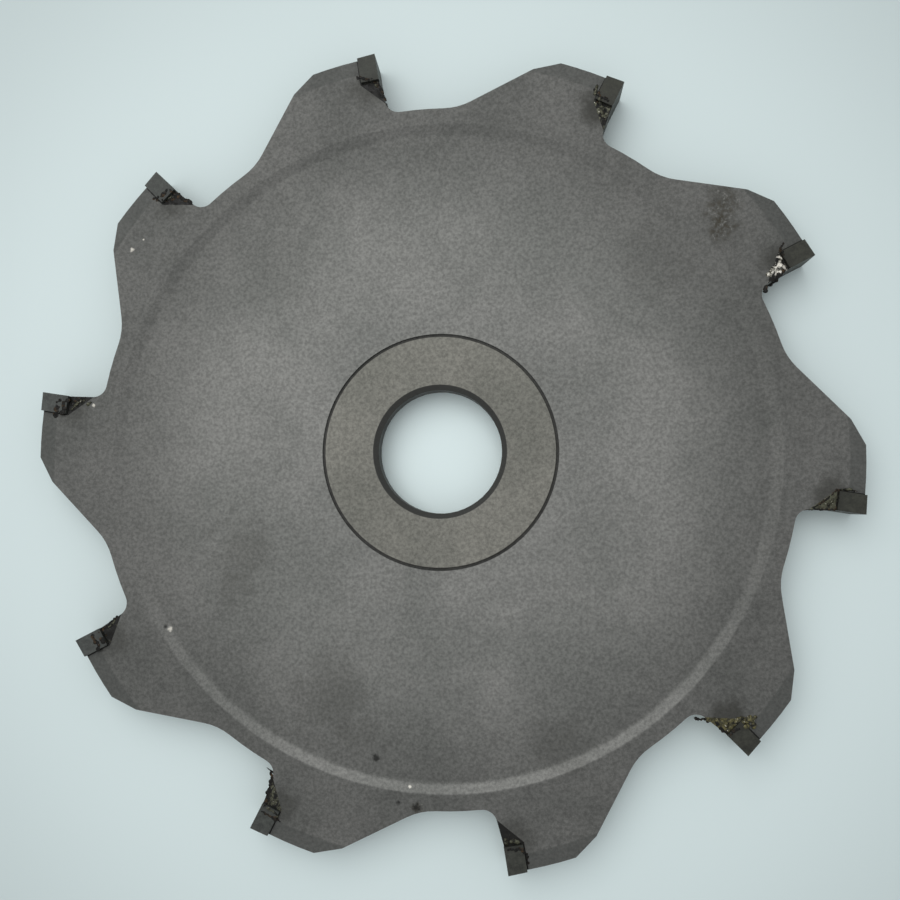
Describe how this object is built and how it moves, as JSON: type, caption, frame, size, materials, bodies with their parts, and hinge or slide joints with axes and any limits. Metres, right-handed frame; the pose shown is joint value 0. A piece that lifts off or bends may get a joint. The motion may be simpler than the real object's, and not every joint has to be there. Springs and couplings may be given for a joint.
{
  "type": "circular saw blade",
  "caption": "Carbide-tipped circular saw blade for metal: a thick turned steel disc with a round bore, recessed web, deep gullets and brazed tips that stand proud of the rim.",
  "frame": {"origin": "centre of the bore, halfway through the thickness", "axes": "+Z along the bore towards the face in the picture; +Y through the cutting edge of tooth 1; teeth point clockwise seen from +Z"},
  "size_m": [0.1972, 0.2, 0.01],
  "materials": {
    "blade_steel": "turned, dull, stained",
    "carbide": "ground, satin",
    "braze": "rough, with dark flux"
  },
  "bodies": {
    "root": {"blade_body": "blade_steel", "carbide_tip_01": "carbide", "carbide_tip_02": "carbide", "carbide_tip_03": "carbide", "carbide_tip_04": "carbide", "carbide_tip_05": "carbide", "carbide_tip_06": "carbide", "carbide_tip_07": "carbide", "carbide_tip_08": "carbide", "carbide_tip_09": "carbide", "carbide_tip_10": "carbide", "braze_01": "braze", "braze_02": "braze", "braze_03": "braze", "braze_04": "braze", "braze_05": "braze", "braze_06": "braze", "braze_07": "braze", "braze_08": "braze", "braze_09": "braze", "braze_10": "braze"}
  },
  "joints": []
}
